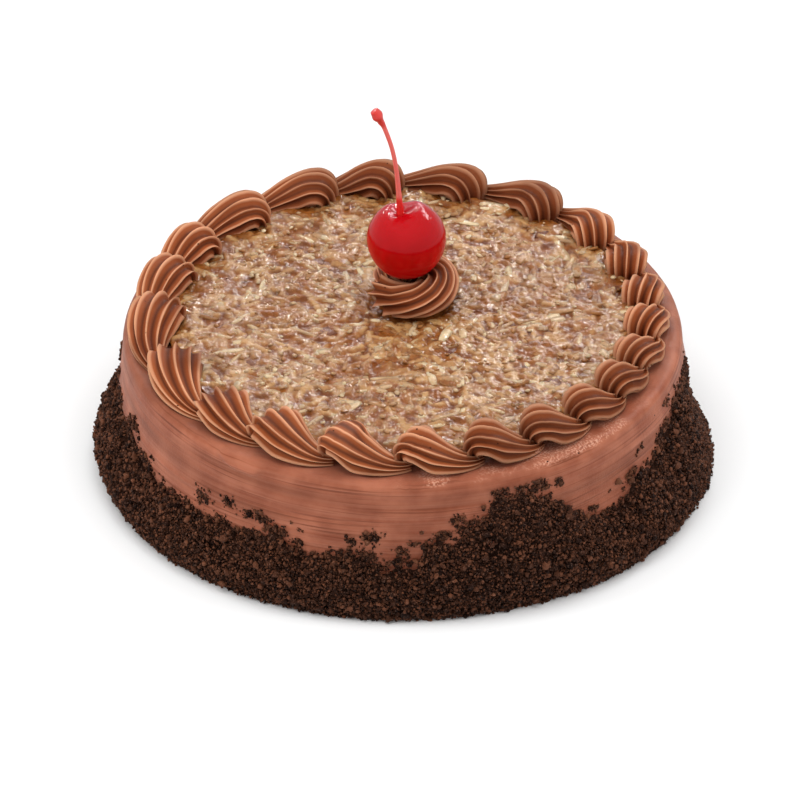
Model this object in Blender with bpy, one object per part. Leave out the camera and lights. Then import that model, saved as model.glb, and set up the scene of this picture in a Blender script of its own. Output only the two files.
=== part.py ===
"""German chocolate cake, whole and uncut.

One round frosted layer with a crumb-coated foot, a border of piped shells, a coconut and pecan
topping inside the border, and a piped rosette that carries a stemmed cherry. Metres, +Z up, the
origin on the flat bottom under the middle of the layer. Angles run counter-clockwise from +X.
"""

import math
import random

import bmesh
import bpy
from mathutils import Vector, noise
from mathutils.bvhtree import BVHTree

MM = 0.001
GAP = 0.3 * MM            # air between pieces that touch
SEED = 20

# Frosted layer
LAYER_HEIGHT = 56.7 * MM
RIM_RADIUS = 106.0 * MM
WAIST_RADIUS = 108.5 * MM
LIP_RADIUS = 3.0 * MM
LAYER_SPOKES = 96

# Crumb coat round the foot: its outline swells above the bottom and thins to a ragged edge
COAT_HEIGHT = 30.0 * MM
COAT_SWELL = 9.0 * MM
COAT_ROUGHNESS = 1.8 * MM
COAT_PEAKS = (            # angle in degrees, rise of the edge, spread in degrees
    (352, 8 * MM, 14), (16, -5 * MM, 12), (60, 3 * MM, 20), (120, -3 * MM, 25), (158, -6 * MM, 12),
    (184, 4 * MM, 14), (212, -3 * MM, 14), (262, -4 * MM, 24), (296, 16 * MM, 9), (318, -3 * MM, 8))
COAT_SWELLINGS = (        # angle in degrees, extra swell, spread in degrees
    (180, 2.0 * MM, 30), (270, -2.5 * MM, 30), (325, 3.0 * MM, 20), (345, 1.0 * MM, 12))
COAT_SLUMPS = (           # angle in degrees, how far the crumbs slid to the foot, spread in degrees
    (6, 1.0, 17), (158, 0.9, 12))
COAT_CLUMPS = 24
LOOSE_CRUMBS = 18
CLUMP_SIZES = (2.2 * MM, 4.0 * MM)
LOOSE_SIZES = (1.3 * MM, 2.3 * MM)

# Piped shells: each starts at a tall head and runs counter-clockwise into a low tail
SHELL_RING_RADIUS = 93.0 * MM
SHELL_RING_Y = 2.0 * MM
SHELL_START = 3.0         # degrees, where the head of the first shell begins
SHELL_STEPS = (14, 15, 18, 20, 20, 16, 19, 19, 14, 17, 22, 21, 16, 17, 17, 16, 14.5, 13.5, 13, 12, 13, 13)
SHELL_HEIGHT = 12.8 * MM
SHELL_HALF_WIDTH = 10.8 * MM
SHELL_NARROWING = 2.6 * MM          # lost from the half width on the +X side
SHELL_BACK = 9.6 * MM               # from the turning point to the back of the head
SHELL_BULGE = 1.0 * MM              # extra fullness where the head turns over
SHELL_TAIL_HEIGHT = 2.8 * MM
SHELL_TAIL_TAPER = 0.78
SHELL_OVERLAP = 6.0 * MM            # of a tail into the next head
SHELL_YAW = 24.0                    # degrees that each head points outwards
SHELL_SWING = 1.35                  # share of that by which the tail has turned back at its end
SHELL_DEPTH = 1.9 * MM              # of the turning point under the frosting
SHELL_FOOT = 1.0 * MM               # from the turning point to the foot of each section
NOZZLE_TEETH = 8
GROOVE_DEPTH = 0.22                 # of a section's half size
HEAD_STATIONS = (0.0, 30.0, 60.0, 90.0)     # degrees of turn
TAIL_STATIONS = (0.42, 1.0)           # shares of the tail's length

# Coconut and pecan topping
TOPPING_RADIUS = 86.0 * MM
TOPPING_CENTRE = (0.5 * MM, 2.0 * MM)
TOPPING_THICKNESS = 2.6 * MM
TOPPING_BUMPS = 0.8 * MM
TOPPING_SPOKES = 66
TOPPING_RINGS = 5
SHREDS = 34
SHRED_LENGTHS = (9.0 * MM, 13.0 * MM)
SHRED_WIDTH = 2.8 * MM
SHRED_THICKNESS = 1.8 * MM
PECANS = 8
PECAN_SIZES = (2.4 * MM, 4.0 * MM)

# Rosette, cherry and stem
ROSETTE_CENTRE = (3.0 * MM, 14.5 * MM)
ROSETTE_RADIUS = 18.6 * MM
ROSETTE_HEIGHT = 14.0 * MM
ROSETTE_RISE = 2.6 * MM             # of the rim, from its low side to its high side
ROSETTE_HIGH_SIDE = 20.0            # degrees
ROSETTE_TEETH = 9
ROSETTE_TWIST = 190.0               # degrees from the foot to the bottom of the cup
CHERRY_CENTRE = (1.3 * MM, 14.5 * MM)
CHERRY_RADIUS = 15.6 * MM
CHERRY_HEIGHT = 30.8 * MM
CHERRY_SPOKES = 18
CHERRY_DIMPLE = 3.6 * MM
CHERRY_LOBES = 1.6 * MM             # rise of the right lobe and fall of the left one
CHERRY_CLEFT = 2.4 * MM             # depth of the fold between them
CHERRY_LEAN = 2.2 * MM              # of its top towards -X
CHERRY_LIFT = 11.6 * MM             # of its bottom above the topping
STEM_RADIUS = 0.95 * MM
STEM_POINTS = (                     # from the dimple: across, up, thickness as a share
    (0.0, 0.0, 1.45), (-0.4, 5.0, 1.25), (-0.9, 11.0, 1.05), (-1.8, 20.0, 0.92), (-3.4, 29.0, 0.88),
    (-6.0, 37.5, 0.92), (-7.4, 40.6, 1.35), (-8.6, 42.9, 2.25), (-10.0, 45.2, 1.70))


def lerp(a, b, share):
    return a + (b - a) * share


def hills(angle, table):
    """Sum of the smooth hills in a table of (angle, height, spread) at an angle in degrees."""
    total = 0.0
    for centre, height, spread in table:
        away = (angle - centre + 180.0) % 360.0 - 180.0
        total += height * math.exp(-0.5 * (away / spread) ** 2)
    return total


def material(name, colour, roughness, coat=0.0):
    """A Principled material without metal; colour is linear RGB."""
    made = bpy.data.materials.new(name)
    made.use_nodes = True
    shader = made.node_tree.nodes["Principled BSDF"]
    shader.inputs["Base Color"].default_value = (*colour, 1.0)
    shader.inputs["Roughness"].default_value = roughness
    shader.inputs["Metallic"].default_value = 0.0
    shader.inputs["Coat Weight"].default_value = coat
    made.diffuse_color = (*colour, 1.0)
    return made


def new_object(name, bm, finish, smooth=True):
    """Turn a bmesh into a named object with its material."""
    mesh = bpy.data.meshes.new(name)
    bm.to_mesh(mesh)
    bm.free()
    if smooth:
        mesh.shade_smooth()
        mesh.set_sharp_from_angle(angle=math.radians(40))
    mesh.materials.append(finish)
    made = bpy.data.objects.new(name, mesh)
    bpy.context.scene.collection.objects.link(made)
    return made


def new_empty(name, location):
    made = bpy.data.objects.new(name, None)
    made.location = location
    bpy.context.scene.collection.objects.link(made)
    return made


def face_outwards(bm):
    bmesh.ops.recalc_face_normals(bm, faces=bm.faces)
    if bm.calc_volume(signed=True) < 0.0:
        bmesh.ops.reverse_faces(bm, faces=bm.faces)


def loft(spokes, stations, place):
    """A closed skin: a ring of points, extruded from station to station, capped at both ends.

    place(station, spoke) gives each point, so a ridge keeps its spoke along the whole skin. The
    skin is split into triangles at once, so that a grown copy used as a cutter is split alike.
    """
    bm = bmesh.new()
    spoke_of = bm.verts.layers.int.new("spoke")
    ring = bmesh.ops.create_circle(bm, cap_ends=True, segments=spokes, radius=1.0)["verts"]
    for index, vert in enumerate(ring):
        vert[spoke_of] = index
    for number, station in enumerate(stations):
        if number:
            inside = set(ring)
            edges = [e for e in bm.edges if e.verts[0] in inside and e.verts[1] in inside]
            grown = bmesh.ops.extrude_edge_only(bm, edges=edges)["geom"]
            ring = [item for item in grown if isinstance(item, bmesh.types.BMVert)]
        for vert in ring:
            vert.co = place(station, vert[spoke_of])
    bm.faces.new(sorted(ring, key=lambda vert: vert[spoke_of]))
    bmesh.ops.triangulate(bm, faces=bm.faces, quad_method="FIXED", ngon_method="BEAUTY")
    face_outwards(bm)
    return bm


def cut_flat(bm):
    """Cut away what lies under z = 0 and close the cut with a flat face."""
    everything = bm.verts[:] + bm.edges[:] + bm.faces[:]
    bmesh.ops.bisect_plane(
        bm, geom=everything, dist=1e-7, plane_co=(0, 0, 0), plane_no=(0, 0, 1), clear_inner=True)
    bmesh.ops.holes_fill(bm, edges=[e for e in bm.edges if e.is_boundary], sides=0)
    face_outwards(bm)


def boolean(target, operation, tools, solver="EXACT"):
    """Join the tools to the target, or cut them out of it, and remove them."""
    collection = bpy.data.collections.new(target.name + "_tools")
    bpy.context.scene.collection.children.link(collection)
    for tool in tools:
        collection.objects.link(tool)
    step = target.modifiers.new(operation.lower(), "BOOLEAN")
    step.operation = operation
    step.solver = solver
    step.operand_type = "COLLECTION"
    step.collection = collection
    depsgraph = bpy.context.evaluated_depsgraph_get()
    mesh = bpy.data.meshes.new_from_object(target.evaluated_get(depsgraph))
    target.modifiers.clear()
    target.data = mesh
    for tool in list(tools):
        bpy.data.objects.remove(tool)
    bpy.data.collections.remove(collection)


def drop_scraps(target):
    """Keep only the largest body of a cut mesh."""
    bm = bmesh.new()
    bm.from_mesh(target.data)
    left = set(bm.verts)
    bodies = []
    while left:
        body = {left.pop()}
        edge = list(body)
        while edge:
            near = {e.other_vert(v) for v in edge for e in v.link_edges} & left
            left -= near
            body |= near
            edge = list(near)
        bodies.append(body)
    keep = max(bodies, key=len)
    bmesh.ops.delete(bm, geom=[v for v in bm.verts if v not in keep], context="VERTS")
    bm.to_mesh(target.data)
    bm.free()


def lump(name, finish, centre, size, flatness, draw):
    """An irregular crumb, clump or nut piece of 20 faces, turned at random."""
    bm = bmesh.new()
    bmesh.ops.create_icosphere(bm, subdivisions=1, radius=size)
    for vert in bm.verts:
        vert.co *= draw.uniform(0.78, 1.15)
        vert.co.z *= flatness
    made = new_object(name, bm, finish, smooth=False)
    made.location = centre
    made.rotation_euler = [draw.uniform(-0.5, 0.5) for _ in range(2)] + [draw.uniform(0, math.tau)]
    return made


# The frosted layer and its crumb coat

def frosting_radius(z):
    """Outer radius of the bare frosting: a slight barrel with a rounded lip at the top."""
    waist = 0.45 * LAYER_HEIGHT
    radius = WAIST_RADIUS - (WAIST_RADIUS - RIM_RADIUS) * ((z - waist) / (LAYER_HEIGHT - waist)) ** 2
    drop = max(0.0, z - (LAYER_HEIGHT - LIP_RADIUS))
    return radius - (LIP_RADIUS - math.sqrt(max(0.0, LIP_RADIUS ** 2 - drop ** 2)))


def coat_edge(degrees):
    """Height of the crumb coat's upper edge."""
    return COAT_HEIGHT + hills(degrees, COAT_PEAKS)


def coated_radius(degrees, z):
    """Outer radius of frosting and crumbs together, before the crumbs' roughness."""
    share = z / coat_edge(degrees)
    if share >= 1.0:
        return frosting_radius(z)
    swell = COAT_SWELL + hills(degrees, COAT_SWELLINGS)
    piled = min(1.0, 0.72 + 0.9 * share) * (1.0 - share ** 2.2)
    slid = 1.25 * (1.0 - share) ** 2
    return frosting_radius(z) + swell * lerp(piled, slid, min(1.0, hills(degrees, COAT_SLUMPS)))


def build_cake(finish):
    draw = random.Random(SEED)
    heights = [share * COAT_HEIGHT for share in (0.0, 0.18, 0.38, 0.58, 0.78, 1.0, 1.3)]
    heights += [LAYER_HEIGHT - LIP_RADIUS, LAYER_HEIGHT - 0.3 * LIP_RADIUS, LAYER_HEIGHT]

    def place(z, spoke):
        degrees = 360.0 * spoke / LAYER_SPOKES
        radius = coated_radius(degrees, z)
        if z < coat_edge(degrees):
            radius += draw.uniform(-1.0, 1.0) * COAT_ROUGHNESS
        turn = math.radians(degrees)
        return Vector((radius * math.cos(turn), radius * math.sin(turn), z))

    cake = new_object("cake", loft(LAYER_SPOKES, heights, place), finish, smooth=False)
    crumbs = []
    for number in range(COAT_CLUMPS + LOOSE_CRUMBS):
        loose = number >= COAT_CLUMPS
        degrees = 360.0 * (number * 0.618034 % 1.0) + draw.uniform(-3, 3)
        size = draw.uniform(*(LOOSE_SIZES if loose else CLUMP_SIZES))
        edge = coat_edge(degrees)
        if loose:
            z = edge + (0.06 + 0.30 * draw.random() ** 2) * COAT_HEIGHT
        else:
            z = lerp(size * 1.3, edge - size, draw.random())
        radius = coated_radius(degrees, z) + (0.25 if loose else 0.1) * size
        turn = math.radians(degrees)
        centre = (radius * math.cos(turn), radius * math.sin(turn), z)
        crumbs.append(lump("crumb", finish, centre, size, 0.85, draw))
    boolean(cake, "UNION", crumbs)
    return cake


# Piped shells

def shell_section(shell, station):
    """Turning angle, distance along, foot, top and half width of a section of one shell."""
    turn, share = station
    depth = SHELL_DEPTH
    if share == 0.0:
        lean = turn / 90.0
        top = lerp(shell["back"], shell["height"] + depth, lean)
        top += SHELL_BULGE * math.sin(math.radians(2.0 * turn))
        half_width = shell["half_width"] * (0.80 + 0.20 * math.sin(math.radians(turn)))
        return turn, 0.0, SHELL_FOOT, top, half_width
    fall = 0.5 + 0.5 * math.cos(math.pi * share ** 0.9)
    top = depth + lerp(SHELL_TAIL_HEIGHT, shell["height"], fall)
    half_width = shell["half_width"] * (1.0 - SHELL_TAIL_TAPER * share ** 1.4)
    return 90.0, share * shell["tail"], SHELL_FOOT * (1.0 - 1.5 * share), top, half_width


def shell_point(shell, station, spoke, grow):
    """A point of one shell: X outwards, Y along the ring and Z up from its turning point."""
    turn, along, foot, top, half_width = shell_section(shell, station)
    foot, top, half_width = foot - grow, top + grow, half_width + grow
    around = math.tau * spoke / (2 * NOZZLE_TEETH) + shell["phase"]
    squareness = 2.0 if math.cos(around) > 0 else 3.4
    groove = 1.0 - GROOVE_DEPTH * (spoke % 2)
    up = math.copysign(abs(math.cos(around)) ** (2.0 / squareness), math.cos(around))
    out = math.copysign(abs(math.sin(around)) ** (2.0 / squareness), math.sin(around))
    reach = 0.5 * (foot + top) + 0.5 * (top - foot) * up * groove
    across = half_width * out * groove
    angle = math.radians(turn)
    back = reach * math.cos(angle)
    rise = reach * math.sin(angle) - SHELL_DEPTH
    swung = SHELL_SWING * station[1]
    outwards = shell["yaw"] * (1.0 - swung)
    turned_across = across * math.cos(outwards) - back * math.sin(outwards)
    turned_back = back * math.cos(outwards) + across * math.sin(outwards)
    across = turned_across + along * shell["yaw"] * (1.0 - 0.5 * swung)
    along -= turned_back
    bend = along / SHELL_RING_RADIUS
    radius = SHELL_RING_RADIUS + across
    return Vector((radius * math.cos(bend) - SHELL_RING_RADIUS, radius * math.sin(bend), rise))


def shell_shapes():
    """Sizes of every shell in the border, in order from SHELL_START."""
    draw = random.Random(SEED + 1)
    start = SHELL_START
    shapes = []
    for step in SHELL_STEPS:
        length = math.radians(step) * SHELL_RING_RADIUS
        size = min(1.0, 0.62 + 0.38 * length / (26.0 * MM))
        narrowing = SHELL_NARROWING * max(0.0, math.cos(math.radians(start))) ** 2
        shapes.append({
            "angle": math.radians(start) + size * SHELL_BACK / SHELL_RING_RADIUS,
            "back": size * SHELL_BACK,
            "height": SHELL_HEIGHT * draw.uniform(0.95, 1.05),
            "half_width": (SHELL_HALF_WIDTH - narrowing) * draw.uniform(0.96, 1.03),
            "tail": length - size * SHELL_BACK + SHELL_OVERLAP,
            "phase": draw.uniform(-0.12, 0.12),
            "yaw": math.radians(SHELL_YAW) + draw.uniform(-0.03, 0.06)})
        start += step
    return shapes


def build_shell(name, shape, ring, finish, grow=0.0):
    stations = [(turn, 0.0) for turn in HEAD_STATIONS] + [(90.0, share) for share in TAIL_STATIONS]
    bm = loft(2 * NOZZLE_TEETH, stations, lambda at, spoke: shell_point(shape, at, spoke, grow))
    if not grow:
        cut_flat(bm)
    made = new_object(name, bm, finish)
    made.parent = ring
    angle = shape["angle"]
    made.location = (SHELL_RING_RADIUS * math.cos(angle), SHELL_RING_RADIUS * math.sin(angle), 0.0)
    made.rotation_euler = (0.0, 0.0, angle)
    return made


def build_shells(ring, finish):
    """Every shell, its tail cut to fit the head that was piped over it."""
    shapes = shell_shapes()
    shells = []
    for number, shape in enumerate(shapes):
        shell = build_shell("shell_%02d" % (number + 1), shape, ring, finish)
        following = shapes[(number + 1) % len(shapes)]
        head = build_shell("next_head", following, ring, finish, grow=GAP)
        bpy.context.view_layer.update()
        boolean(shell, "DIFFERENCE", [head], solver="MANIFOLD")
        drop_scraps(shell)
        shells.append(shell)
    return shells


# Coconut and pecan topping

def topping_height(x, y):
    """Height of the topping's bare surface over its own foot; flat where the rosette stands."""
    bump = TOPPING_BUMPS * noise.noise(Vector((x, y, 0.0)) / (7.0 * MM))
    away = math.hypot(x - ROSETTE_CENTRE[0], y - ROSETTE_CENTRE[1]) - ROSETTE_RADIUS
    free = min(1.0, max(0.0, away / (6.0 * MM)))
    return TOPPING_THICKNESS + bump * free


def shells_tree(shells):
    """Search tree of the finished shells, to measure the room inside them."""
    bm = bmesh.new()
    for shell in shells:
        mesh = shell.data.copy()
        mesh.transform(shell.matrix_world)
        bm.from_mesh(mesh)
        bpy.data.meshes.remove(mesh)
    tree = BVHTree.FromBMesh(bm)
    bm.free()
    return tree


def topping_reach(tree, spoke):
    """Radius of the topping at one spoke: as far as the nearest shell, but for the gap."""
    reach = TOPPING_RADIUS
    for step in range(-8, 9):
        angle = math.tau * (spoke + step / 16.0) / TOPPING_SPOKES
        ray = Vector((math.cos(angle), math.sin(angle), 0.0))
        for level in range(12):
            height = 0.12 * level * TOPPING_THICKNESS + 0.05 * MM
            start = Vector((*TOPPING_CENTRE, LAYER_HEIGHT + GAP + height))
            distance = tree.ray_cast(start, ray)[3]
            if distance is not None:
                reach = min(reach, distance - 1.5 * GAP)
    return reach


def build_topping(shells, finish):
    draw = random.Random(SEED + 2)
    foot = LAYER_HEIGHT + GAP
    tree = shells_tree(shells)
    reaches = [topping_reach(tree, spoke) for spoke in range(TOPPING_SPOKES)]
    inner = min(reaches)

    def place(station, spoke):
        share, level = station
        radius = share * lerp(inner, reaches[spoke], share)
        turn = math.tau * spoke / TOPPING_SPOKES
        x = TOPPING_CENTRE[0] + radius * math.cos(turn)
        y = TOPPING_CENTRE[1] + radius * math.sin(turn)
        return Vector((x, y, level * topping_height(x, y)))

    stations = [(1.0, 0.0), (1.0, 1.0)]
    stations += [(1.0 - (ring + 0.6) / TOPPING_RINGS, 1.0) for ring in range(TOPPING_RINGS)]
    topping = new_object("coconut_topping", loft(TOPPING_SPOKES, stations, place), finish, smooth=False)
    topping.location = (0.0, 0.0, foot)

    bits = []
    number = 0
    while len(bits) < SHREDS + PECANS:
        number += 1
        angle = number * math.pi * (3.0 - math.sqrt(5.0))
        radius = (TOPPING_RADIUS - 12.0 * MM) * math.sqrt((number + 0.5) / (1.16 * (SHREDS + PECANS)))
        x = TOPPING_CENTRE[0] + radius * math.cos(angle)
        y = TOPPING_CENTRE[1] + radius * math.sin(angle)
        if math.hypot(x - ROSETTE_CENTRE[0], y - ROSETTE_CENTRE[1]) < ROSETTE_RADIUS + 7.5 * MM:
            continue
        z = foot + topping_height(x, y)
        if len(bits) % 5 == 4 and len(bits) < 5 * PECANS:
            size = draw.uniform(*PECAN_SIZES)
            bits.append(lump("pecan", finish, (x, y, z + 0.3 * size), size, 0.6, draw))
            continue
        shred = bmesh.new()
        bmesh.ops.create_cube(shred, size=1.0)
        size = (draw.uniform(*SHRED_LENGTHS), SHRED_WIDTH, SHRED_THICKNESS)
        bmesh.ops.scale(shred, verts=shred.verts, vec=size)
        made = new_object("shred", shred, finish, smooth=False)
        made.location = (x, y, z + 0.2 * SHRED_THICKNESS)
        made.rotation_euler = (0.0, draw.uniform(-0.08, 0.08), draw.uniform(0.0, math.pi))
        bits.append(made)
    boolean(topping, "UNION", bits)


# Rosette, cherry and stem

def build_rosette(crown, finish):
    """A rope piped round in a ring: an upright section whose ridges climb as they go round."""
    radius, height = ROSETTE_RADIUS, ROSETTE_HEIGHT
    section = (           # radius, height and depth of the grooves, from foot to cup
        (0.90 * radius, 0.0, 0.6), (radius, 0.20 * height, 1.0), (0.97 * radius, 0.42 * height, 1.0),
        (0.88 * radius, 0.64 * height, 1.0), (0.76 * radius, 0.84 * height, 1.0),
        (0.62 * radius, 0.96 * height, 0.9), (0.50 * radius, 0.93 * height, 0.7),
        (0.36 * radius, 0.80 * height, 0.5), (0.16 * radius, 0.74 * height, 0.2))
    spokes = 4 * ROSETTE_TEETH
    last = len(section) - 1

    def place(station, spoke):
        out, up, depth = section[station]
        turn = math.tau * spoke / spokes + math.radians(ROSETTE_TWIST) * station / last
        groove = (0.0, 0.07, 0.10, 0.07)[spoke % 4] * depth
        rise = ROSETTE_RISE * math.cos(turn - math.radians(ROSETTE_HIGH_SIDE)) * up / height
        out *= 1.0 - groove
        return Vector((out * math.cos(turn), out * math.sin(turn), up + 0.5 * rise))

    rosette = new_object("rosette", loft(spokes, range(len(section)), place), finish)
    rosette.parent = crown
    rosette.location = (ROSETTE_CENTRE[0], ROSETTE_CENTRE[1], GAP)
    return rosette


def build_cherry(crown, finish):
    """A heart-like fruit: widest above the middle, with two lobes and a dimple for the stem."""
    stations = [math.radians(angle) for angle in (-80, -57, -34, -10, 14, 36, 54, 68, 78, 86)]

    def place(latitude, spoke):
        turn = math.tau * spoke / CHERRY_SPOKES
        lobe = math.cos(turn - math.radians(25))
        taper = 1.0 - 0.10 * (1.0 - math.sin(latitude)) / 2.0
        out = CHERRY_RADIUS * math.cos(latitude) * taper * (1.0 + 0.02 * math.cos(2 * turn))
        up = 0.5 * CHERRY_HEIGHT * (1.0 + math.sin(latitude))
        up += CHERRY_LOBES * lobe * max(0.0, math.sin(latitude)) ** 3 * min(1.0, 2.0 * out / CHERRY_RADIUS)
        fold = math.exp(-(out * math.cos(turn) / (4.5 * MM)) ** 2)
        up -= CHERRY_CLEFT * fold * max(0.0, math.sin(latitude)) ** 3
        up -= (CHERRY_DIMPLE - CHERRY_CLEFT) * math.exp(-(out / (4.6 * MM)) ** 2) * (latitude > 0)
        lean = CHERRY_LEAN * max(0.0, math.sin(latitude)) ** 4
        return Vector((out * math.cos(turn) - lean, out * math.sin(turn), up))

    cherry = new_object("cherry", loft(CHERRY_SPOKES, stations, place), finish)
    cherry.parent = crown
    cherry.location = (CHERRY_CENTRE[0], CHERRY_CENTRE[1], CHERRY_LIFT)
    return cherry


def build_stem(crown, finish):
    """A bent stalk that thickens at its foot and ends in a knob."""
    curve = bpy.data.curves.new("stem", "CURVE")
    curve.dimensions = "3D"
    curve.bevel_depth = STEM_RADIUS
    curve.bevel_resolution = 2
    curve.use_fill_caps = True
    spline = curve.splines.new("POLY")
    spline.points.add(len(STEM_POINTS) - 1)
    for point, (across, up, thickness) in zip(spline.points, STEM_POINTS):
        point.co = (across * MM, 0.0, up * MM, 1.0)
        point.radius = thickness
    curve.materials.append(finish)
    stem = bpy.data.objects.new("stem", curve)
    bpy.context.scene.collection.objects.link(stem)
    stem.parent = crown
    dimple = CHERRY_LIFT + CHERRY_HEIGHT - CHERRY_DIMPLE
    stem.location = (CHERRY_CENTRE[0] - CHERRY_LEAN, CHERRY_CENTRE[1], dimple + 2.0 * GAP)
    return stem


def main():
    for old in list(bpy.data.objects):
        bpy.data.objects.remove(old)
    frosting = material("chocolate_frosting", (0.20, 0.075, 0.042), 0.5)
    syrup = material("coconut_topping", (0.42, 0.24, 0.11), 0.3, coat=0.5)
    fruit = material("cherry_flesh", (0.50, 0.004, 0.012), 0.15, coat=1.0)
    stalk = material("cherry_stem", (0.60, 0.05, 0.04), 0.35)

    build_cake(frosting)
    ring = new_empty("shell_ring", (0.0, SHELL_RING_Y, LAYER_HEIGHT + GAP))
    shells = build_shells(ring, frosting)
    build_topping(shells, syrup)
    crown = new_empty("crown", (0.0, 0.0, LAYER_HEIGHT + GAP + TOPPING_THICKNESS))
    build_rosette(crown, frosting)
    build_cherry(crown, fruit)
    build_stem(crown, stalk)


main()
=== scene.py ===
"""Looks of the german chocolate cake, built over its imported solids.

Metres, +Z up, the origin on the flat bottom under the middle of the layer, the side that the
photograph shows towards -Y. Angles run counter-clockwise from +X, seen from above. Every soft form
is lofted from one ring of points, extruded from station to station, and small things are copies of
a few modelled bits, joined into one mesh for each kind.
"""

import math
import random

import bmesh
import bpy
import numpy as np
from mathutils import Matrix, Vector, noise


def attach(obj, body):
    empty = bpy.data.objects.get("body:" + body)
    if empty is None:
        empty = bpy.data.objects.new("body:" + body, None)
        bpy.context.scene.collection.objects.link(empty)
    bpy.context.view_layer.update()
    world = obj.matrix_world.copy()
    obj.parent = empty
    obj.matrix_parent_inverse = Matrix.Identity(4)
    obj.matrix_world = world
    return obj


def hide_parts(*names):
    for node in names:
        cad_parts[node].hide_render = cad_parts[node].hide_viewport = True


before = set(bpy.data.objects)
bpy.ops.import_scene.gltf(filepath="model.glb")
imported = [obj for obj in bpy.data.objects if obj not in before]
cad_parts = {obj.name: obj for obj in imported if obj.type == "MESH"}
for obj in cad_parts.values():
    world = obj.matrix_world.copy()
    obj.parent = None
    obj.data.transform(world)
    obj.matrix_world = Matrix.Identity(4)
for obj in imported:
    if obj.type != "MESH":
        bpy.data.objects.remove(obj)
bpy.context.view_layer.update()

MM = 0.001
SEED = 7

# Frosted layer, as in the solid, read finely enough for the marks of the spatula
LAYER_HEIGHT = 56.7 * MM
RIM_RADIUS = 106.0 * MM
WAIST_RADIUS = 108.5 * MM
LIP_RADIUS = 3.0 * MM
LAYER_SPOKES = 540
LAYER_STEP = 0.7 * MM
ROUGH_LIP = (262.0, 338.0)           # degrees between which the lip is rough
SMEAR = (236.0, 55.0 * MM)           # middle of the peeled smear under the border
SMEAR_SIZE = (5.5, 3.6 * MM)         # its half sizes, in degrees and up

# Crumb coat
COAT_HEIGHT = 30.0 * MM
COAT_SWELL = 9.0 * MM
COAT_PEAKS = (            # angle in degrees, rise of the edge, spread in degrees
    (352, 8 * MM, 14), (16, -5 * MM, 12), (60, 3 * MM, 20), (120, -3 * MM, 25), (158, -6 * MM, 12),
    (184, 4 * MM, 14), (212, -3 * MM, 14), (262, -4 * MM, 24), (296, 16 * MM, 9), (318, -3 * MM, 8))
COAT_TUFTS = (            # narrower rises of the edge, which crumbs alone make
    (240, 3 * MM, 2), (244, 7 * MM, 1.5), (260, 4 * MM, 2.5), (268.5, -2.5 * MM, 4), (276, 10 * MM, 1.6),
    (290, 8 * MM, 6), (316, -3 * MM, 3), (324, 7 * MM, 3), (343, 13 * MM, 6),
    (100, 6 * MM, 5), (150, 7 * MM, 3))
COAT_SWELLINGS = (        # angle in degrees, extra swell, spread in degrees
    (180, 2.0 * MM, 30), (270, -2.5 * MM, 30), (325, 3.0 * MM, 20), (345, 1.0 * MM, 12))
COAT_SLUMPS = (           # angle in degrees, how far the crumbs slid to the foot, spread in degrees
    (6, 1.0, 17), (158, 0.9, 12))
BARE_PATCHES = (          # degrees, height, half sizes in degrees and up, where frosting shows through
    (267.0, 20 * MM, 5.0, 2.5 * MM), (287.5, 28 * MM, 2.2, 4.5 * MM), (231.0, 17 * MM, 2.0, 3 * MM),
    (143.0, 20 * MM, 3.0, 3 * MM), (60.0, 22 * MM, 4.0, 3.5 * MM))
LACE_DEPTH = 7.0 * MM                # of the band under the edge where gaps show frosting
BED_SPOKES = 980
BED_STEP = 0.55 * MM
BED_TOP = 51.0 * MM
CLUSTERS = 300                       # of crumbs that stuck to the frosting over the edge
CLUSTER_SPREADS = (0.3 * MM, 2.2 * MM)
CRUMB_KINDS = (           # name, fineness, count, smallest and largest size, share on bare frosting
    ("crumb_dust", 0, 32500, 0.34 * MM, 0.70 * MM, 0.10),
    ("crumb_grit", 0, 32500, 0.45 * MM, 0.85 * MM, 0.06),
    ("fine_crumbs", 1, 9800, 0.50 * MM, 0.95 * MM, 0.08),
    ("coarse_crumbs", 2, 1200, 0.80 * MM, 1.35 * MM, 0.06))

# Piped shells: each starts at a tall head and runs counter-clockwise into a low tail
SHELL_BASE = 57.0 * MM
SHELL_RING_RADIUS = 93.0 * MM
SHELL_RING_Y = 2.0 * MM
SHELL_START = 3.0
SHELL_STEPS = (14, 15, 18, 20, 20, 16, 19, 19, 14, 17, 22, 21, 16, 17, 17, 16, 14.5, 13.5, 13, 12, 13, 13)
SHELL_HEIGHT = 12.8 * MM
SHELL_HALF_WIDTH = 10.8 * MM
SHELL_NARROWING = 2.6 * MM
SHELL_BACK = 9.6 * MM
SHELL_BULGE = 1.0 * MM
SHELL_TAIL_HEIGHT = 2.8 * MM
SHELL_TAIL_TAPER = 0.78
SHELL_OVERLAP = 6.0 * MM
SHELL_YAW = 24.0                     # degrees that each head points outwards
SHELL_SWING = 1.35                   # share of that by which the tail has turned back at its end
SHELL_PIVOT = 1.5 * MM               # height of the point that the flow curls round
SHELL_CORE = 0.5 * MM                # from that point to the innermost ridge
SHELL_FIRST_TURN = -70.0             # degrees at which the flow comes out from under the head
SHELL_SINK = 0.8 * MM                # of its flat foot into the frosting
PLAIN_TONE = 0.7                     # neither crest nor channel, on a plain surface
FLUTES = 10
FLUTE_SPOKES = 12
FLUTE_DEPTH = 2.7 * MM
HEAD_STATIONS = 27
TAIL_STATIONS = 24
WIPED_SHELL = 15                     # the one whose crown was wiped flat by the next head
SHELL_CURLS = {14: 3.0 * MM, 15: 5.0 * MM, 16: 4.0 * MM, 17: 3.5 * MM, 18: 3.0 * MM}   # higher pivots

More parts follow.
